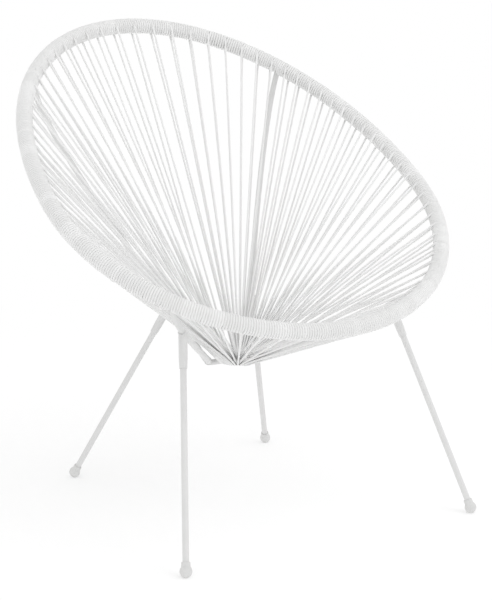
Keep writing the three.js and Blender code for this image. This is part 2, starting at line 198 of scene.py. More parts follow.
class StageSettings(bpy.types.PropertyGroup):
    """Floor, lights and camera."""

    camera_place: vector("Camera place", "Where the camera stands", (-1.474, -2.43, 0.94))
    camera_forward: vector("Camera direction", "Where it looks", (0.5198, 0.8304, -0.2004))
    lens: number("Lens", "Focal length in millimetres", 93.9)
    shift_x: number("Shift X", "Sideways shift of the frame", -0.0043)
    shift_y: number("Shift Y", "Upward shift of the frame", 0.0025)
    floor_size: length("Floor size", "Width of the floor", 24)
    paper: share("Paper", "How much light the floor sends back", 0.74)
    glow: share("Glow", "Light that the floor adds", 0.3)
    fade_start: length("Fade start", "Where the floor starts to melt into the surround", 0.7)
    fade_end: length("Fade end", "Where the floor is as white as the surround", 1.8)
    surround: share("Surround", "Strength of the light from all round", 0.9)
    key_place: vector("Key place", "Where the main lamp hangs", (1.7, -2.2, 3.3))
    key_size: length("Key size", "Width of the main lamp", 2.6)
    key_power: power("Key power", "Power of the main lamp", 22)
    fill_place: vector("Fill place", "Where the fill lamp hangs", (-2.6, -1.6, 1.9))
    fill_size: length("Fill size", "Width of the fill lamp", 2.4)
    fill_power: power("Fill power", "Power of the fill lamp", 3)


class ChairSettings(bpy.types.PropertyGroup):
    """Everything that can be set."""

    rim: group("Rim", "The rim", RimSizes)
    cord: group("Cord", "The cord", CordSizes)
    hub: group("Hub", "The hub", HubSizes)
    rods: group("Rods", "The cradle and the stays", RodSizes)
    legs: group("Legs", "Legs, sockets and feet", LegSizes)
    finish: group("Finishes", "Colours and gloss", Finishes)
    stage: group("Stage", "Floor, lights and camera", StageSettings)


# Lines


def angles(steps):
    """The angles of the points of a full turn."""
    return [i * 2 * math.pi / steps for i in range(steps)]


def mirrored(vector):
    return Vector((-vector.x, vector.y, vector.z))


def smooth_step(value):
    value = min(max(value, 0), 1)
    return value * value * (3 - 2 * value)


class MeasuredLine:
    """A line whose points are asked for by share of its length."""

    near = 0.0001

    def __init__(self, point_at, divisions, closed=False):
        self.point_at = point_at
        self.divisions = divisions
        self.closed = closed
        places = [point_at(i / divisions) for i in range(divisions + 1)]
        self.lengths = [0.0]
        for before, after in zip(places, places[1:]):
            self.lengths.append(self.lengths[-1] + (after - before).length)
        self.length = self.lengths[-1]

    def parameter(self, part):
        part = part % 1 if self.closed else min(max(part, 0), 1)
        target = part * self.length
        i = min(bisect.bisect_right(self.lengths, target), self.divisions) - 1
        step = self.lengths[i + 1] - self.lengths[i]
        return (i + (target - self.lengths[i]) / step) / self.divisions

    def point(self, part):
        return self.point_at(self.parameter(part))

    def tangent(self, part):
        t = self.parameter(part)
        if not self.closed:
            t = min(max(t, self.near), 1 - self.near)
        return (self.point_at(t + self.near) - self.point_at(t - self.near)).normalized()

    def points(self, steps, start=0):
        """Evenly spaced points from the share start to the end."""
        return [self.point(start + (1 - start) * i / steps) for i in range(steps + 1)]


class RimLine(MeasuredLine):
    """Two half ellipses in one tilted plane, clockwise from above, from the left back joint."""

    first_joint = math.pi * 0.75

    def __init__(self, sizes):
        self.sizes = sizes
        self.normal = Vector((0, -math.sin(sizes.tilt), math.cos(sizes.tilt)))
        self.widest_line = (sizes.front_reach - sizes.rear_reach) / 2
        super().__init__(self.curve, divisions=1200, closed=True)
        self.joints = [self.lengths[round(t * self.divisions)] for t in (0, 0.25, 0.5, 0.75, 1)]

    def curve(self, t):
        sizes = self.sizes
        turn = self.first_joint - t * 2 * math.pi
        reach = sizes.rear_reach if math.sin(turn) > 0 else sizes.front_reach
        along = self.widest_line + reach * math.sin(turn)
        return Vector((sizes.half_width * math.cos(turn), along * math.cos(sizes.tilt),
                       sizes.middle_height + along * math.sin(sizes.tilt)))

    def around(self, distance, phase, radius):
        """A point round the tube: phase 0 is on top of the rim's plane and a quarter turn is outward."""
        part = distance / self.length
        tangent = self.tangent(part)
        outward = self.normal.cross(tangent)
        return self.point(part) + (self.normal * math.cos(phase) + outward * math.sin(phase)) * radius

    def phase_of(self, part, direction):
        outward = self.normal.cross(self.tangent(part))
        return math.atan2(direction.dot(outward), direction.dot(self.normal))


def bent_line(start, start_pull, joint, rim_normal, rim_pull):
    """A rod's line that leaves start by start_pull and comes up square to the rim's plane."""
    a, b, c, d = start, start + start_pull, joint - rim_normal * rim_pull, joint

    def curve(t):
        s = 1 - t
        return a * s ** 3 + b * (3 * s * s * t) + c * (3 * s * t * t) + d * t ** 3

    return MeasuredLine(curve, divisions=200)


class RodLines:
    """The lines of the cradle's right half and of the right stay."""

    def __init__(self, settings):
        rods = settings.rods
        rim = RimLine(settings.rim)
        self.rim = rim
        self.corner = Vector((rods.crossbar_half_width, -rods.crossbar_forward, rods.crossbar_height))
        back_joint = rim.point(rim.joints[1] / rim.length)
        front_joint = rim.point(rim.joints[2] / rim.length)
        self.arm = bent_line(self.corner, Vector(rods.cradle_pull), back_joint, rim.normal,
                             rods.cradle_rim_pull)
        self.bend_share = rods.bend_length / self.arm.length
        bend_start = self.corner - Vector((rods.bend_length, 0, 0))
        bend_end = self.arm.point(self.bend_share)
        self.bend = MeasuredLine(lambda t: bend_start * (1 - t) ** 2 + self.corner * (2 * t * (1 - t))
                                 + bend_end * t ** 2, divisions=60)
        self.stay = bent_line(self.bend.point(0.5), Vector(rods.stay_pull), front_joint, rim.normal,
                              rods.stay_rim_pull)


# Meshes


def mesh_of(name, vertices, faces):
    """A mesh of its corners and faces."""
    mesh = bpy.data.meshes.new(name)
    mesh.from_pydata(vertices, [], faces)
    return mesh


def mesh_from(name, shape):
    """A mesh of a bmesh, which is freed."""
    mesh = bpy.data.meshes.new(name)
    shape.to_mesh(mesh)
    shape.free()
    return mesh


def placed(name, data):
    """A new object in the scene."""
    item = bpy.data.objects.new(name, data)
    bpy.context.scene.collection.objects.link(item)
    return item


def finished(mesh, material, slot, *nodes, smooth_angle=40):
    """Makes a piece of its mesh, with its finish, and lets it stand for its nodes."""
    mesh.validate()
    mesh.polygons.foreach_set("use_smooth", [True] * len(mesh.polygons))
    mesh.set_sharp_from_angle(angle=math.radians(smooth_angle))
    mesh.materials.append(material)
    piece = placed(mesh.name, mesh)
    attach(piece, "root")
    if nodes:
        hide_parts(*nodes)


def coated(chair, mesh, *nodes):
    """Makes a powder coated piece of its mesh."""
    finished(mesh, material_of(powder_coat, chair.finish), "frame", *nodes)


def section_frames(points, axis):
    """Two unit vectors across the line at each point, which turn as little as they can along it."""
    if axis is None:
        tangents = np.gradient(points, axis=0)
    else:
        tangents = np.roll(points, -1, 0) - np.roll(points, 1, 0)
    tangents /= np.linalg.norm(tangents, axis=1)[:, None]
    first = np.array(axis or UP, float)
    normals = np.empty_like(points)
    for i, tangent in enumerate(tangents):
        normal = first - tangent * (first @ tangent)
        normal /= np.linalg.norm(normal)
        normals[i] = normal
        if axis is None:
            first = normal
    return normals, np.cross(tangents, normals)


def tube_mesh(name, points, radius, sides, axis=None):
    """A round tube along points, closed if it goes round an axis, with one radius or one a point."""
    points = np.array([tuple(p) for p in points], float)
    normals, binormals = section_frames(points, axis)
    radii = np.broadcast_to(np.asarray(radius, float), len(points))[:, None, None]
    turns = np.array(angles(sides))[None, :, None]
    ring = np.cos(turns) * normals[:, None] + np.sin(turns) * binormals[:, None]
    vertices = (points[:, None] + radii * ring).reshape(-1, 3)
    rings = len(points)
    last = rings if axis else rings - 1
    i = np.arange(last)[:, None] * sides
    j = (np.arange(1, last + 1)[:, None] % rings) * sides
    a = np.arange(sides)[None]
    b = (a + 1) % sides
    quads = np.stack([i + a, i + b, j + b, j + a], -1).reshape(-1, 4)
    faces = quads.tolist()
    if not axis:
        faces.append(list(range(sides))[::-1])
        faces.append(list(range((rings - 1) * sides, rings * sides)))
    return mesh_of(name, vertices.tolist(), faces)


def turned_mesh(name, profile, sides, origin, direction):
    """A turned piece. The profile's corners are (radius, height along direction from origin). It starts and
    ends on the axis, or closes on itself."""
    turn = UP.rotation_difference(direction).to_matrix().to_4x4()
    place = Matrix.Translation(origin) @ turn
    vertices, rows = [], []
    for radius, height in profile:
        first = len(vertices)
        if radius == 0:
            rows.append([first] * sides)
            vertices.append(place @ Vector((0, 0, height)))
        else:
            rows.append(range(first, first + sides))
            vertices += [place @ Vector((radius * math.cos(a), radius * math.sin(a), height))
                         for a in angles(sides)]
    pairs = list(zip(rows, rows[1:]))
    if profile[0][0] > 0:
        pairs.append((rows[-1], rows[0]))
    faces = [list(dict.fromkeys((low[i], low[j], high[j], high[i])))
             for low, high in pairs for i, j in zip(range(sides), (*range(1, sides), 0))]
    return mesh_of(name, vertices, faces)


def joined_mesh(name, meshes):
    """One mesh of several, with the small ones removed."""
    whole = bmesh.new()
    for mesh in meshes:
        whole.from_mesh(mesh)
        bpy.data.meshes.remove(mesh)
    return mesh_from(name, whole)


def bar_mesh(name, low, high):
    """A flat bar between two corners, with worn edges."""
    worn = 0.0007
    bar = bmesh.new()
    bmesh.ops.create_cube(bar, size=1)
    for vertex in bar.verts:
        vertex.co = Vector(a + (b - a) * (side + 0.5) for a, b, side in zip(low, high, vertex.co))
    bmesh.ops.bevel(bar, geom=bar.edges[:], offset=worn, segments=3, profile=0.5, affect="EDGES")
    return mesh_from(name, bar)


def bead_mesh(curve, axis, radius, seed, steps=72):
    """A weld bead on a closed curve round an axis, with the ripples of its runs."""
    noise = random.Random(seed)
    ripples = [(depth, waves, noise.uniform(0, 2 * math.pi))
               for depth, waves in ((0.07, 17), (0.06, 5), (0.04, 9))]
    radii = [radius * (1 + sum(depth * math.sin(waves * turn + start) for depth, waves, start in ripples))
             for turn in angles(steps)]
    return tube_mesh("bead", map(curve, angles(steps)), radii, 10, axis)


# Finishes


def set_inputs(tree, node, inputs):
    """Gives each input a value or joins it to an output. A node stands for its first output in use."""
    for name, value in inputs.items():
        if isinstance(value, bpy.types.Node):
            value = next(output for output in value.outputs if output.enabled)
        if isinstance(value, bpy.types.NodeSocket):
            tree.links.new(value, node.inputs[name])
        else:
            node.inputs[name].default_value = value


def add_node(tree, kind, inputs=None, **settings):
    """A new node with its settings and its inputs."""
    node = tree.nodes.new(f"ShaderNode{kind}")
    for name, value in settings.items():
        setattr(node, name, value)
    set_inputs(tree, node, inputs or {})
    return node


def material_of(recipe, finish):
    """The material with the recipe's name, made the first time that it is asked for."""
    name = recipe.__name__
    if name not in bpy.data.materials:
        material = bpy.data.materials.new(name)
        material.use_nodes = True
        tree = material.node_tree
        set_inputs(tree, tree.nodes["Principled BSDF"], recipe(tree, finish))
    return bpy.data.materials[name]


def grain(tree, scale, detail, roughness=0.5, stretch=None):
    """Noise by the object's own coordinates."""
    place = add_node(tree, "TexCoord").outputs["Object"]
    if stretch:
        place = add_node(tree, "Mapping", {"Vector": place, "Scale": stretch})
    return add_node(tree, "TexNoise", {"Vector": place, "Scale": scale, "Detail": detail,
                                       "Roughness": roughness})


def ranged(tree, value, low, high, middle=0):
    """A noise value, which is mostly between 0.3 and 0.7, spread from low to high round the middle."""
    return add_node(tree, "MapRange", {"Value": value, "From Min": 0.3, "From Max": 0.7,
                                       "To Min": middle + low, "To Max": middle + high})


def between(tree, value, first, second):
    """A colour between two, by a value."""
    return add_node(tree, "Mix", {"Factor": value, "A": (*first, 1), "B": (*second, 1)}, data_type="RGBA")


def bumped(tree, height, strength, distance):
    """A surface direction that follows a height."""
    return add_node(tree, "Bump", {"Height": height, "Strength": strength, "Distance": distance})


def added(tree, first, second, weight):
    """first plus weight times second."""
    return add_node(tree, "Math", {0: second, 1: weight, 2: first}, operation="MULTIPLY_ADD")


def cord_plastic(tree, finish):
    """Milky satin plastic: its tone drifts along the cord, and its skin has fine draw marks."""
    tone = add_node(tree, "Attribute", attribute_name="cord_tone").outputs["Fac"]
    mottle = grain(tree, 90, 3)
    shade = ranged(tree, added(tree, tone, mottle, 0.35), 0, 1)
    return {
        "Base Color": between(tree, shade, finish.cord, finish.cord_shade),
        "Roughness": ranged(tree, mottle, -0.05, 0.06, finish.cord_roughness),
        "Subsurface Weight": finish.cord_depth,
        "Subsurface Radius": (1, 1, 1),
        "Subsurface Scale": 0.002,
        "Normal": bumped(tree, grain(tree, 1500, 2, 0.6), 0.1, 0.00008),
    }


def powder_coat(tree, finish):
    """Powder coat on steel: a fine orange peel, a little thinner in places."""
    cloud = ranged(tree, grain(tree, 45, 4), 0, 0.7)
    peel = grain(tree, 520, 2, 0.45)
    speck = grain(tree, 2400, 1)
    return {
        "Base Color": between(tree, cloud, finish.coat, finish.coat_shade),
        "Roughness": ranged(tree, peel, -0.06, 0.06, finish.coat_roughness),
        "Normal": bumped(tree, added(tree, peel, speck, 0.3), 0.3, 0.0002),
    }


def foot_plastic(tree, finish):
    """Moulded plastic with a fine matt texture."""
    cloud = ranged(tree, grain(tree, 60, 3), 0, 1)
    texture = grain(tree, 1900, 2, 0.7)
    darker = [0.93 * part for part in finish.foot]
    return {
        "Base Color": between(tree, cloud, finish.foot, darker),
        "Roughness": ranged(tree, texture, -0.07, 0.07, finish.foot_roughness),
        "Normal": bumped(tree, texture, 0.3, 0.00015),
    }


def zinc_plate(tree, finish):
    """Zinc plated steel with a cloudy passivation and fine scratches."""
    cloud = ranged(tree, grain(tree, 150, 4), 0, 1)
    scratches = grain(tree, 600, 2, 0.5, stretch=(1, 1, 8))
    paler = [min(1, 1.25 * part) for part in finish.zinc]
    return {
        "Metallic": 0.9,
        "Base Color": between(tree, cloud, finish.zinc, paler),
        "Roughness": ranged(tree, scratches, -0.08, 0.1, finish.zinc_roughness),
        "Normal": bumped(tree, scratches, 0.2, 0.0001),
    }


# Cord


class Lacing:
    """The route of the cord: wound along the rim, down to the hub inside the seat and back outside it."""

    # How far the turns stay off a joint underneath, and how far along the rim they are pressed for it.
    rod_hold, rod_reach = 0.00805, 0.045
    # Angle from the bottom with the full press, and angle over which it ends.
    under, under_fade = 0.4, 1.0
    # Angles over which a turn becomes a run, takes its slope, and makes room for a lug at the hub.
    ease, bend, lug_reach = 1.2, 0.7, math.pi / 3
    # Distances of a run's first rings from the rim, and parts of the rest.
    near_steps, far_steps = (0, 0.003, 0.006, 0.009, 0.012, 0.015, 0.019, 0.025), 7
    # Length over which a run rides up, slope for its full lift, and wander of its middle.
    hump, steep, wander = 0.019, 0.3, 0.0007

    def __init__(self, settings):
        self.cord = settings.cord
        self.hub = settings.hub
        self.rim = RimLine(settings.rim)
        self.wound = settings.rim.tube_radius + self.cord.slack + self.cord.radius
        sides = self.cord.side_pairs
        self.pairs = (self.cord.back_pairs, sides, self.cord.front_pairs, sides)
        self.hub_centre = Vector((0, -self.hub.forward, self.hub.height))
        self.lug_gap = self.hub.strap_width / 2 + 0.6 * self.cord.radius

    def pushed(self, turn):
        """The place of a turn round the hub, moved aside where a lug of the strap comes up to the ring."""
        lug = math.copysign(math.pi / 2, math.sin(turn))
        offset = math.remainder(turn - lug, 2 * math.pi)
        gap = self.lug_gap / self.hub.ring_radius
        if abs(offset) >= self.lug_reach:
            return turn
        return lug + math.copysign(gap + abs(offset) * (1 - gap / self.lug_reach), offset)

    def past_rod(self, distance, phase):
        """A place along the rim, moved aside underneath where a rod is welded on. The turns are pressed
        together there, and stay side by side on top."""
        joint = min(self.rim.joints, key=lambda place: abs(place - distance))
        offset = distance - joint
        if abs(offset) >= self.rod_reach:
            return distance
        from_bottom = abs(math.remainder(phase - math.pi, 2 * math.pi))
        aside = 1 - smooth_step((from_bottom - self.under) / self.under_fade)
        pressed = self.rod_hold * (1 - abs(offset) / self.rod_reach)
        return distance + math.copysign(aside * pressed, offset)

    def turns(self, start, end):
        """Points of the turns between two places on the rim. A place is a distance along the rim, a phase,
        a slope, and 1 where a pair leaves or 0. At a pair half a turn is missing on the seat's side, so
        the turns close up there and open on the other side. They also lean to the pair, whose outer run
        comes in a step after its inner run."""
        full = 2 * math.pi
        start, start_phase, start_slope, start_pair = start
        end, end_phase, end_slope, end_pair = end
        first = (start_phase - end_phase) % full
        lean = self.cord.outer_step / 2
        pairs = start_pair + end_pair
        span = end - start + lean * pairs
        whole = max(0, round(span / self.cord.turn_pitch - pairs / 4 - first / full))
        total = first + whole * full
        quarter = span / (4 * total / full + pairs)
        steps = max(2, math.ceil(total / full * self.cord.turn_steps))
        points = []
        for i in range(1, steps):
            done = total * i / steps
            left = total - done
            progress = i / steps
            closing = end_pair * progress * math.sin(end_phase - start_phase + done)
            closing += start_pair * (1 - progress) * math.sin(done)
            leaning = end_pair * progress * smooth_step(left / self.ease)
            leaning -= start_pair * (1 - progress) * smooth_step(done / self.ease)
            distance = start + (end - start) * progress + quarter * closing + lean * leaning
            if done < self.bend:
                distance += start_slope * self.wound * done * (1 - done / self.bend) ** 2
            if left < self.bend:
                distance -= end_slope * self.wound * left * (1 - left / self.bend) ** 2
            near = max(0, 1 - min(done, left) / self.ease) if start_slope or end_slope else 0
            radius = self.wound + (self.cord.leaving_radius - self.wound) * near
            phase = start_phase - done
            points.append(self.rim.around(self.past_rod(distance, phase), phase, radius))
        return points

    def pair(self, place, index):
        """The two runs of a pair and the turn that joins them at the hub."""
        shift = (self.pairs[0] / 2 - index - 0.5) / sum(self.pairs)
        turn = self.pushed(math.pi / 2 + shift * 2 * math.pi)
        outward = Vector((math.cos(turn), math.sin(turn), 0))
        ring_tangent = Vector((-outward.y, outward.x, 0))
        ring_point = self.hub_centre + outward * self.hub.ring_radius
        line = (self.rim.point(place / self.rim.length) - ring_point).normalized()
        above_ring = upward(ring_tangent.cross(line))
        radius = self.hub.outer_turn if index % 2 == 0 else self.hub.inner_turn
        inward = ring_tangent.cross(above_ring)
        if inward.dot(line) > 0:
            inward.negate()
        loop = [ring_point + (above_ring * math.cos(a) + inward * math.sin(a)) * radius
                for a in (math.pi * i / 12 for i in range(13))]
        inner = self.run(place, line, 1, loop[0], 0.0)
        outer = self.run(place + self.cord.outer_step, line, -1, loop[-1], math.pi)
        return inner, loop, outer

    def run(self, place, line, layer, low, phase):
        """A run from the rim to low on the hub. Layer is 1 inside the seat and -1 outside it, and phase is
        roughly where the run leaves the rim."""
        part = self.past_rod(place, phase) / self.rim.length
        rim_tangent = self.rim.tangent(part)
        above_rim = upward(rim_tangent.cross(line))
        high = self.rim.point(part) + above_rim * layer * self.cord.leaving_radius
        lean = (high - low).normalized().dot(rim_tangent)
        slope = lean / math.sqrt(1 - lean ** 2)
        return {"low": low, "high": high, "slope": slope,
                "phase": self.rim.phase_of(part, above_rim * layer),
                "lift": above_rim * layer * self.cord.leaving_lift * min(1, abs(slope) / self.steep)}

    def pair_share(self, side, index):
        """Place of a pair on its side of the rim; the back's pairs stand wider apart near the middle."""
        even = (index + 0.5) / self.pairs[side]
        spread = self.cord.back_spread if side == 0 else 0
        return even - spread * math.sin(2 * math.pi * even) / (2 * math.pi)

    def run_points(self, run, noise):
        """Points from the rim to the hub, without the hub end, each with the cord's radius there."""
        reach = (run["low"] - run["high"]).length
        along = (run["low"] - run["high"]) / reach
        aside = along.cross(UP).normalized() * noise.uniform(-1, 1) * self.wander
        taper = self.near_steps[-1]
        far = [taper + (reach - taper) * i / self.far_steps for i in range(1, self.far_steps)]
        rings = []
        for distance in (*self.near_steps, *far):
            hump = math.sin(math.pi * min(1, distance / self.hump)) ** 2
            bow = math.sin(math.pi * distance / reach)
            taut = min(1, distance / taper)
            radius = self.cord.radius + (self.cord.run_radius - self.cord.radius) * taut
            rings.append((run["high"] + along * distance + run["lift"] * hump + aside * bow, radius))
        return rings

    def side_route(self, side):
        """Every point of one side's cord, from joint to joint, and the cord's radius at each."""
        radius, run_radius = self.cord.radius, self.cord.run_radius
        noise = random.Random(self.cord.seed + side)
        low, high = self.rim.joints[side:side + 2]
        before = sum(self.pairs[:side])
        start = (low, 0.0, 0.0, 0)
        rings = [(self.rim.around(low, 0.0, self.wound), radius)]
        for i in range(self.pairs[side]):
            spot = low + (high - low) * self.pair_share(side, i)
            inner, loop, outer = self.pair(spot, before + i)
            turns = self.turns(start, (spot, inner["phase"], -inner["slope"], 1))
            rings += [(point, radius) for point in turns]
            rings += self.run_points(inner, noise)
            rings += [(point, run_radius) for point in loop]
            rings += self.run_points(outer, noise)[::-1]
            start = (spot + self.cord.outer_step, outer["phase"], outer["slope"], 1)
        turns = self.turns(start, (high, 0.0, 0.0, 0)) + [self.rim.around(high, 0.0, self.wound)]
        rings += [(point, radius) for point in turns]
        return zip(*rings)


def upward(vector):
    vector = vector.normalized()
    return -vector if vector.z < 0 else vector


def cord_tones(points, seed):
    """A slow drift of shade along the cord, 0 to 1."""
    noise = random.Random(seed)
    array = np.array([tuple(p) for p in points])
    travelled = np.concatenate([[0], np.cumsum(np.linalg.norm(np.diff(array, axis=0), axis=1))])
    spacing = 0.35
    levels = [noise.random() for _ in range(int(travelled[-1] / spacing) + 2)]
    return np.interp(travelled / spacing, range(len(levels)), levels)


def cord_nodes(side):
    """The CAD nodes that the cord of one side stands for."""
    fans = sorted(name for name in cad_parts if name.startswith(f"seat_cords_{side}_"))
    return [f"rim_winding_{side}", *fans]


# Operators


class ChairOperator:
    """Shared by the chair's operators."""

    bl_options = {"REGISTER", "UNDO"}


class CHAIR_OT_rim_tube(ChairOperator, bpy.types.Operator):
    """Bends the rim's steel tube"""

    bl_idname = "chair.rim_tube"
    bl_label = "Rim Tube"

    def execute(self, context):
        chair = context.scene.chair
        rim = RimLine(chair.rim)
        mesh = tube_mesh("rim_steel", rim.points(240)[:-1], chair.rim.tube_radius, 24, rim.normal)
        coated(chair, mesh, "rim_tube")
        return {"FINISHED"}


class CHAIR_OT_lacing(ChairOperator, bpy.types.Operator):
    """Winds the cord along the rim and laces the seat, one piece of cord for each side"""

    bl_idname = "chair.lacing"
    bl_label = "Cord Lacing"

    def execute(self, context):
        chair = context.scene.chair
        sides = chair.cord.sides
        lacing = Lacing(chair)
        for side, name in enumerate(SIDE_NAMES):
            points, radii = lacing.side_route(side)
            mesh = tube_mesh(f"cord_{name}", points, radii, sides)
            tones = np.repeat(cord_tones(points, chair.cord.seed + 10 + side), sides)
            mesh.attributes.new("cord_tone", "FLOAT", "POINT").data.foreach_set("value", tones)
            finished(mesh, material_of(cord_plastic, chair.finish), "cord", *cord_nodes(name),
                     smooth_angle=80)
        return {"FINISHED"}


class CHAIR_OT_hub(ChairOperator, bpy.types.Operator):
    """Makes the hub ring and the strap that carries it"""

    bl_idname = "chair.hub"
    bl_label = "Hub"

    def execute(self, context):
        chair = context.scene.chair
        hub = chair.hub
        centre = Vector((0, -hub.forward, hub.height))
        ring = [centre + Vector((math.cos(a), math.sin(a), 0)) * hub.ring_radius for a in angles(96)]
        coated(chair, tube_mesh("hub_ring_steel", ring, hub.rod_radius, 16, UP), "hub_ring")
        thickness = hub.strap_thickness
        half = thickness / 2
        front = -hub.forward - hub.ring_radius - half
        back = -hub.forward + hub.ring_radius + half
        top = hub.height - hub.strap_drop
        bottom = top - thickness
        side = hub.strap_width / 2
        bars = [bar_mesh("strap", (-side, front, bottom), (side, back, top))]
        side = hub.lug_width / 2
        for y in (front, back - thickness):
            bars.append(bar_mesh("lug", (-side, y, bottom + half),
                                 (side, y + thickness, hub.height - hub.rod_radius)))
        coated(chair, joined_mesh("hub_strap_steel", bars), "hub_strap")
        return {"FINISHED"}


class CHAIR_OT_cradle(ChairOperator, bpy.types.Operator):
    """Bends the back cradle from one rod"""

    bl_idname = "chair.cradle"
    bl_label = "Back Cradle"

    def execute(self, context):
        chair = context.scene.chair
        lines = RodLines(chair)
        right = lines.bend.points(12)[:-1] + lines.arm.points(48, start=lines.bend_share)
        left = [mirrored(point) for point in reversed(right)]
        coated(chair, tube_mesh("cradle_rod", left + right, chair.rods.radius, 20), "back_cradle")
        return {"FINISHED"}


class CHAIR_OT_stays(ChairOperator, bpy.types.Operator):
    """Bends the two front stays"""

    bl_idname = "chair.stays"
    bl_label = "Front Stays"

    def execute(self, context):
        chair = context.scene.chair
        right = RodLines(chair).stay.points(40)
        for name, points in (("right", right), ("left", map(mirrored, right))):
            coated(chair, tube_mesh(f"stay_rod_{name}", points, chair.rods.radius, 20),
                   f"front_stay_{name}")
        return {"FINISHED"}


def leg_places(chair):
    """Each leg's name, its head on a rod, the rod's direction there, its ball's middle and its axis."""
    legs = chair.legs
    lines = RodLines(chair)
    places = []
    for row, line, along, x, y in (
            ("front", lines.stay, legs.front_share, legs.front_half_spread, -legs.front_reach),
            ("rear", lines.arm, legs.rear_share, legs.rear_half_spread, legs.rear_reach)):
        right = (line.point(along), line.tangent(along), Vector((x, y, legs.ball_height)))
        for side, (head, rod, foot) in (("right", right), ("left", map(mirrored, right))):
            places.append(Leg(f"{row}_{side}", head, rod, foot, (head - foot).normalized()))
    return places


class CHAIR_OT_sockets(ChairOperator, bpy.types.Operator):
    """Turns the four leg sockets"""

    bl_idname = "chair.sockets"
    bl_label = "Leg Sockets"

    def execute(self, context):
        chair = context.scene.chair
        legs = chair.legs
        outer, mouth, bore = legs.socket_radius, legs.mouth_radius, legs.socket_bore
        end = -legs.socket_length
        edge, band = 0.0005, 0.004
        shoulder = legs.mouth_taper - legs.socket_length
        swell = (mouth + (outer - mouth) * 0.6, shoulder - legs.mouth_taper * 0.35)
        profile = [(bore, end + edge), (bore + edge / 2, end), (mouth - edge, end), (mouth, end + edge),
                   swell, (outer, shoulder), (outer, shoulder + band), (outer, -band), (outer, -edge),
                   (outer - edge, 0), (bore, 0)]
        for leg in leg_places(chair):
            coated(chair, turned_mesh(f"socket_{leg.name}", profile, 32, leg.head, leg.axis),
                   f"leg_socket_{leg.name}")
        return {"FINISHED"}


class CHAIR_OT_legs(ChairOperator, bpy.types.Operator):
    """Turns the four legs"""

    bl_idname = "chair.legs"
    bl_label = "Legs"

    def execute(self, context):
        chair = context.scene.chair
        radius = chair.legs.radius
        top = -chair.legs.top_depth
        edge = 0.0005
        for leg in leg_places(chair):
            bottom = chair.legs.floor_thickness - (leg.head - leg.foot).length
            profile = [(0, bottom), (radius - edge, bottom), (radius, bottom + edge),
                       (radius, (bottom + top) / 2), (radius, top - edge), (radius - edge, top), (0, top)]
            coated(chair, turned_mesh(f"leg_rod_{leg.name}", profile, 28, leg.head, leg.axis),
                   f"leg_{leg.name}")
        return {"FINISHED"}


class CHAIR_OT_feet(ChairOperator, bpy.types.Operator):
    """Moulds the four ball feet"""

    bl_idname = "chair.feet"
    bl_label = "Ball Feet"

    def execute(self, context):
        chair = context.scene.chair
        legs = chair.legs
        ball, collar, top = legs.ball_radius, legs.collar_radius, legs.collar_length
        neck = math.asin(collar / ball)
        steps, seam, root, lip = 28, 0.00018, 0.001, 0.0006
        profile = [(0, -ball)]
        for i in range(1, steps + 1):
            turn = math.pi + (neck - math.pi) * i / steps
            out = seam if i == steps / 2 else 0
            profile.append(((ball + out) * math.sin(turn), ball * math.cos(turn)))
        bore, floor = legs.socket_bore, legs.floor_thickness
        profile += [(collar + root / 10, profile[-1][1] + root), (collar, top - 5 * lip),
                    (collar, top - lip), (collar - lip / 3, top - lip / 3), (collar - lip, top),
                    (bore, top), (bore, floor), (0, floor)]
        for leg in leg_places(chair):
            mesh = turned_mesh(f"ball_foot_{leg.name}", profile, 40, leg.foot, leg.axis)
            for vertex in mesh.vertices:
                vertex.co.z = max(0, vertex.co.z)
            finished(mesh, material_of(foot_plastic, chair.finish), "foot", f"foot_{leg.name}")
        return {"FINISHED"}


def bar_bead(centre, along, across, down, reach, bar_radius, off, weld_radius, seed):
    """A weld bead round a rod or a socket, which follows the round bar that it meets."""
    def curve(turn):
        side = math.sin(turn) * reach
        drop = math.sqrt(max(bar_radius ** 2 - side ** 2, 0)) + off
        return centre + along * math.cos(turn) * reach + across * side - down * drop

    return bead_mesh(curve, down, weld_radius, seed)


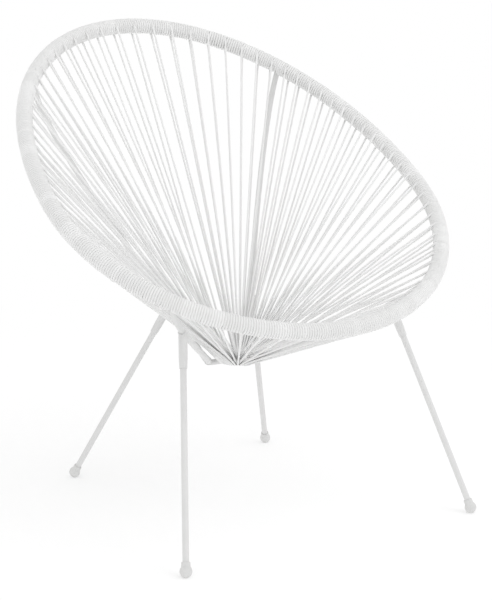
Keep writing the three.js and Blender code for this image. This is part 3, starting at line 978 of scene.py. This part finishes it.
class CHAIR_OT_welds(ChairOperator, bpy.types.Operator):
    """Lays the weld beads at the rim, the sockets, the bends and the strap"""

    bl_idname = "chair.welds"
    bl_label = "Welds"
    # How far the middle of a bead is out from the piece it goes round, and off the bar it lies on.
    rim_out, rim_off, socket_out, socket_off, stay_out = 0.0006, 0.0004, -0.0004, 0.0012, 0.0004
    # How far the strap's bead is in from its end, and how thick it is.
    strap_in, strap_weld = 0.0016, 0.0011

    def execute(self, context):
        chair = context.scene.chair
        rod, weld = chair.rods.radius, chair.rods.weld_radius
        lines = RodLines(chair)
        rim = lines.rim
        beads = []
        for seed, place in enumerate(rim.joints[:4]):
            part = place / rim.length
            tangent = rim.tangent(part)
            beads.append(bar_bead(rim.point(part), tangent, rim.normal.cross(tangent), rim.normal,
                                  rod + self.rim_out, chair.rim.tube_radius, self.rim_off, weld, seed))
        for seed, leg in enumerate(leg_places(chair), 14):
            along = (leg.rod - leg.axis * leg.rod.dot(leg.axis)).normalized()
            reach = chair.legs.socket_radius + self.socket_out
            beads.append(bar_bead(leg.head, along, leg.axis.cross(along), leg.axis, reach, rod,
                                  self.socket_off, weld, seed))
        beads += self.stay_beads(lines, rod + self.stay_out, weld)
        beads.append(self.strap_bead(chair.hub))
        coated(chair, joined_mesh("weld_beads", beads))
        return {"FINISHED"}

    def stay_beads(self, lines, reach, weld):
        """The beads round the stays, where they leave the cradle's bends."""
        start = lines.bend.point(0.5)
        forward = lines.stay.tangent(0.02)
        first = forward.cross(UP).normalized()
        second = first.cross(forward)
        beads = []
        for seed, side in ((28, 1), (29, -1)):
            flip = Vector((side, 1, 1))

            def collar(turn, flip=flip):
                ring = (first * math.cos(turn) + second * math.sin(turn)) * reach
                return (start + forward * reach + ring) * flip

            beads.append(bead_mesh(collar, forward * flip, weld, seed))
        return beads

    def strap_bead(self, hub):
        """The bead round the strap's back end, where it lies on the crossbar."""
        half = hub.strap_thickness / 2
        y = -hub.forward + hub.ring_radius + half - self.strap_in
        middle = hub.height - hub.strap_drop - half

        def band(turn):
            return Vector((hub.strap_width / 2 * math.cos(turn), y, middle + half * math.sin(turn)))

        return bead_mesh(band, Vector((0, 1, 0)), self.strap_weld, 40)


class CHAIR_OT_threads(ChairOperator, bpy.types.Operator):
    """Plates the bushes and studs that screw the legs into their sockets"""

    bl_idname = "chair.threads"
    bl_label = "Threads"

    def execute(self, context):
        material = material_of(zinc_plate, context.scene.chair.finish)
        names = [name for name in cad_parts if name.startswith(("socket_bush_", "leg_stud_"))]
        if len(names) != 8:
            raise RuntimeError("the four bushes and four studs were not all found")
        for name in names:
            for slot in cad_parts[name].material_slots:
                slot.material = material
        return {"FINISHED"}


class CHAIR_OT_stage(ChairOperator, bpy.types.Operator):
    """Sets the floor, the lights and the camera"""

    bl_idname = "chair.stage"
    bl_label = "Stage"

    def execute(self, context):
        stage = context.scene.chair.stage
        self.floor(stage)
        self.surround(context, stage)
        self.lamp("key_lamp", stage.key_place, stage.key_size, stage.key_power)
        self.lamp("fill_lamp", stage.fill_place, stage.fill_size, stage.fill_power)
        self.camera(context, stage)
        context.scene.view_settings.view_transform = "Standard"
        return {"FINISHED"}

    def floor(self, stage):
        plane = bmesh.new()
        bmesh.ops.create_grid(plane, x_segments=4, y_segments=4, size=stage.floor_size / 2)
        floor = placed("studio_floor", mesh_from("studio_floor", plane))
        floor.location.z = -0.0004
        floor.data.materials.append(self.floor_finish(stage))

    def floor_finish(self, stage):
        """White paper: it keeps the shadow under the chair, and further out melts into the surround."""
        material = bpy.data.materials.new("studio_paper")
        material.use_nodes = True
        tree = material.node_tree
        tree.nodes.clear()
        paper = add_node(tree, "BsdfDiffuse", {"Color": (*[stage.paper] * 3, 1)})
        glow = add_node(tree, "Emission", {"Strength": stage.glow})
        white = add_node(tree, "Emission")
        near = add_node(tree, "AddShader", {0: paper, 1: glow})
        place = add_node(tree, "TexCoord").outputs["Object"]
        reach = add_node(tree, "VectorMath", {0: place}, operation="LENGTH")
        fade = add_node(tree, "MapRange", {"Value": reach, "From Min": stage.fade_start,
                                           "From Max": stage.fade_end}, interpolation_type="SMOOTHSTEP")
        shown = add_node(tree, "MixShader", {"Fac": fade, 1: near, 2: white})
        rays = add_node(tree, "LightPath").outputs
        seen = add_node(tree, "Math", {0: rays["Is Camera Ray"], 1: rays["Is Glossy Ray"]},
                        operation="MAXIMUM")
        mix = add_node(tree, "MixShader", {"Fac": seen, 1: near, 2: shown})
        add_node(tree, "OutputMaterial", {"Surface": mix})
        return material

    def surround(self, context, stage):
        """A white room, at its full brightness only for the camera."""
        world = bpy.data.worlds.new("studio")
        context.scene.world = world
        world.use_nodes = True
        tree = world.node_tree
        tree.nodes.clear()
        room = add_node(tree, "Background", {"Color": (1, 1, 1, 1), "Strength": stage.surround})
        seen = add_node(tree, "Background", {"Color": (1, 1, 1, 1), "Strength": 1})
        rays = add_node(tree, "LightPath").outputs
        mix = add_node(tree, "MixShader", {"Fac": rays["Is Camera Ray"], 1: room, 2: seen})
        add_node(tree, "OutputWorld", {"Surface": mix})

    def lamp(self, name, place, size, power):
        light = bpy.data.lights.new(name, "AREA")
        light.shape = "DISK"
        light.size = size
        light.energy = power
        lamp = placed(name, light)
        lamp.location = place
        middle = (CAD_BOX[0] + CAD_BOX[1]) / 2
        lamp.rotation_euler = (middle - lamp.location).to_track_quat("-Z", "Y").to_euler()

    def camera(self, context, stage):
        data = bpy.data.cameras.new("camera")
        data.lens = stage.lens
        data.shift_x = stage.shift_x
        data.shift_y = stage.shift_y
        data.clip_end = 100
        camera = placed("camera", data)
        forward = Vector(stage.camera_forward).normalized()
        right = forward.cross(UP).normalized()
        above = right.cross(forward)
        turn = Matrix((right, above, -forward)).transposed().to_4x4()
        camera.matrix_world = Matrix.Translation(Vector(stage.camera_place)) @ turn
        context.scene.camera = camera


class CHAIR_PT_panel(bpy.types.Panel):
    """Lists the chair's pieces in the order in which they are built"""

    bl_idname = "CHAIR_PT_panel"
    bl_label = "Acapulco Chair"
    bl_space_type = "VIEW_3D"
    bl_region_type = "UI"
    bl_category = "Chair"

    def draw(self, context):
        for operator in OPERATORS:
            self.layout.operator(operator.bl_idname, text=operator.bl_label)
        chair = context.scene.chair
        for part in (chair.rim, chair.cord, chair.hub, chair.rods, chair.legs, chair.finish, chair.stage):
            box = self.layout.box()
            for name in type(part).__annotations__:
                box.prop(part, name)


OPERATORS = (CHAIR_OT_stage, CHAIR_OT_rim_tube, CHAIR_OT_lacing, CHAIR_OT_hub, CHAIR_OT_cradle,
             CHAIR_OT_stays, CHAIR_OT_sockets, CHAIR_OT_legs, CHAIR_OT_feet, CHAIR_OT_welds,
             CHAIR_OT_threads)
CLASSES = (RimSizes, CordSizes, HubSizes, RodSizes, LegSizes, Finishes, StageSettings, ChairSettings,
           *OPERATORS, CHAIR_PT_panel)


def register():
    for item in CLASSES:
        bpy.utils.register_class(item)
    bpy.types.Scene.chair = bpy.props.PointerProperty(type=ChairSettings)


def unregister():
    del bpy.types.Scene.chair
    for item in reversed(CLASSES):
        bpy.utils.unregister_class(item)


def main():
    """Builds the chair and its stage."""
    register()
    bpy.ops.chair.stage()
    bpy.ops.chair.rim_tube()
    bpy.ops.chair.lacing()
    bpy.ops.chair.hub()
    bpy.ops.chair.cradle()
    bpy.ops.chair.stays()
    bpy.ops.chair.sockets()
    bpy.ops.chair.legs()
    bpy.ops.chair.feet()
    bpy.ops.chair.welds()
    bpy.ops.chair.threads()


if __name__ == "__main__":
    main()
